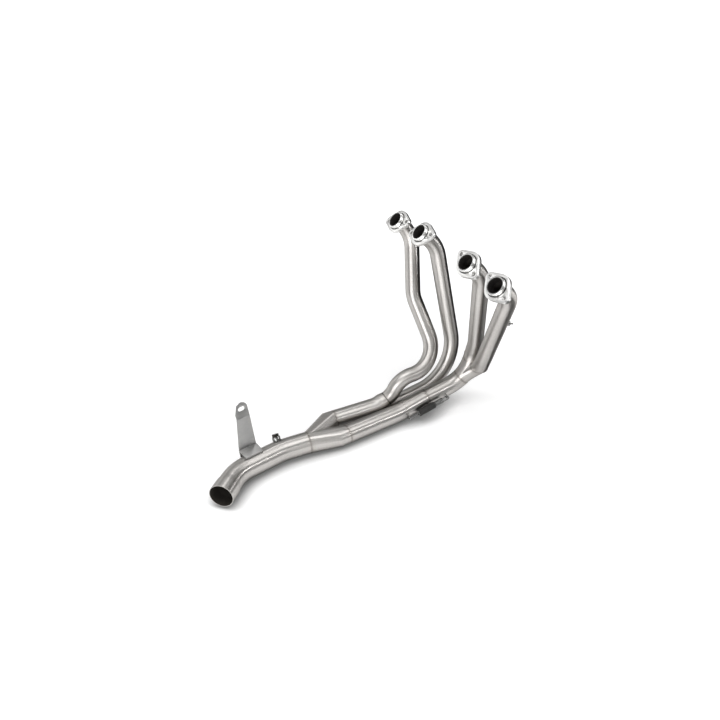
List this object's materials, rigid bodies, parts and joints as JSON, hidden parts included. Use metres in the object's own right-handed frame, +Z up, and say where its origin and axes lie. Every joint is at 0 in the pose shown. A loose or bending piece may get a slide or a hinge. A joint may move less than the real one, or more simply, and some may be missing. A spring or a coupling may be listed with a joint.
{
  "type": "motorcycle exhaust header",
  "caption": "Stainless exhaust header for an inline-four motorcycle: bent head pipes with loose port flanges join in pairs, then in one collector with a slip-on outlet and a hanger bracket.",
  "frame": {"origin": "middle of the overall box in X and Y, on the plane under its lowest point", "axes": "+X forward on the motorcycle, +Y to the rider's left, +Z up"},
  "size_m": [0.6769, 0.4334, 0.4218],
  "materials": {
    "brushed_stainless": "brushed along the pipe, satin",
    "turned_stainless": "turned, bright",
    "flange_steel": "bright, lightly blasted",
    "sheet_steel": "rolled sheet, satin",
    "spring_wire": "drawn wire",
    "dark_plug": "black oxide",
    "black_rubber": "matt"
  },
  "bodies": {
    "root": {"head_pipe_1": "brushed_stainless", "head_pipe_2": "brushed_stainless", "head_pipe_3": "brushed_stainless", "head_pipe_4": "brushed_stainless", "port_sleeve_1": "turned_stainless", "port_sleeve_2": "turned_stainless", "port_sleeve_3": "turned_stainless", "port_sleeve_4": "turned_stainless", "port_flange_1": "flange_steel", "port_flange_2": "flange_steel", "port_flange_3": "flange_steel", "port_flange_4": "flange_steel", "left_secondary_pipe": "brushed_stainless", "right_merge_collector": "brushed_stainless", "right_merge_pipe": "brushed_stainless", "slip_socket": "brushed_stainless", "right_secondary_pipe": "brushed_stainless", "final_collector": "brushed_stainless", "link_pipe": "brushed_stainless", "mounting_bracket": "sheet_steel", "sensor_boss": "turned_stainless", "sensor_plug": "dark_plug", "front_spring_hook": "turned_stainless", "rear_spring_hook": "turned_stainless", "joint_spring": "spring_wire", "spring_rubber_sleeve": "black_rubber", "head_pipe_stud": "turned_stainless"}
  },
  "joints": []
}
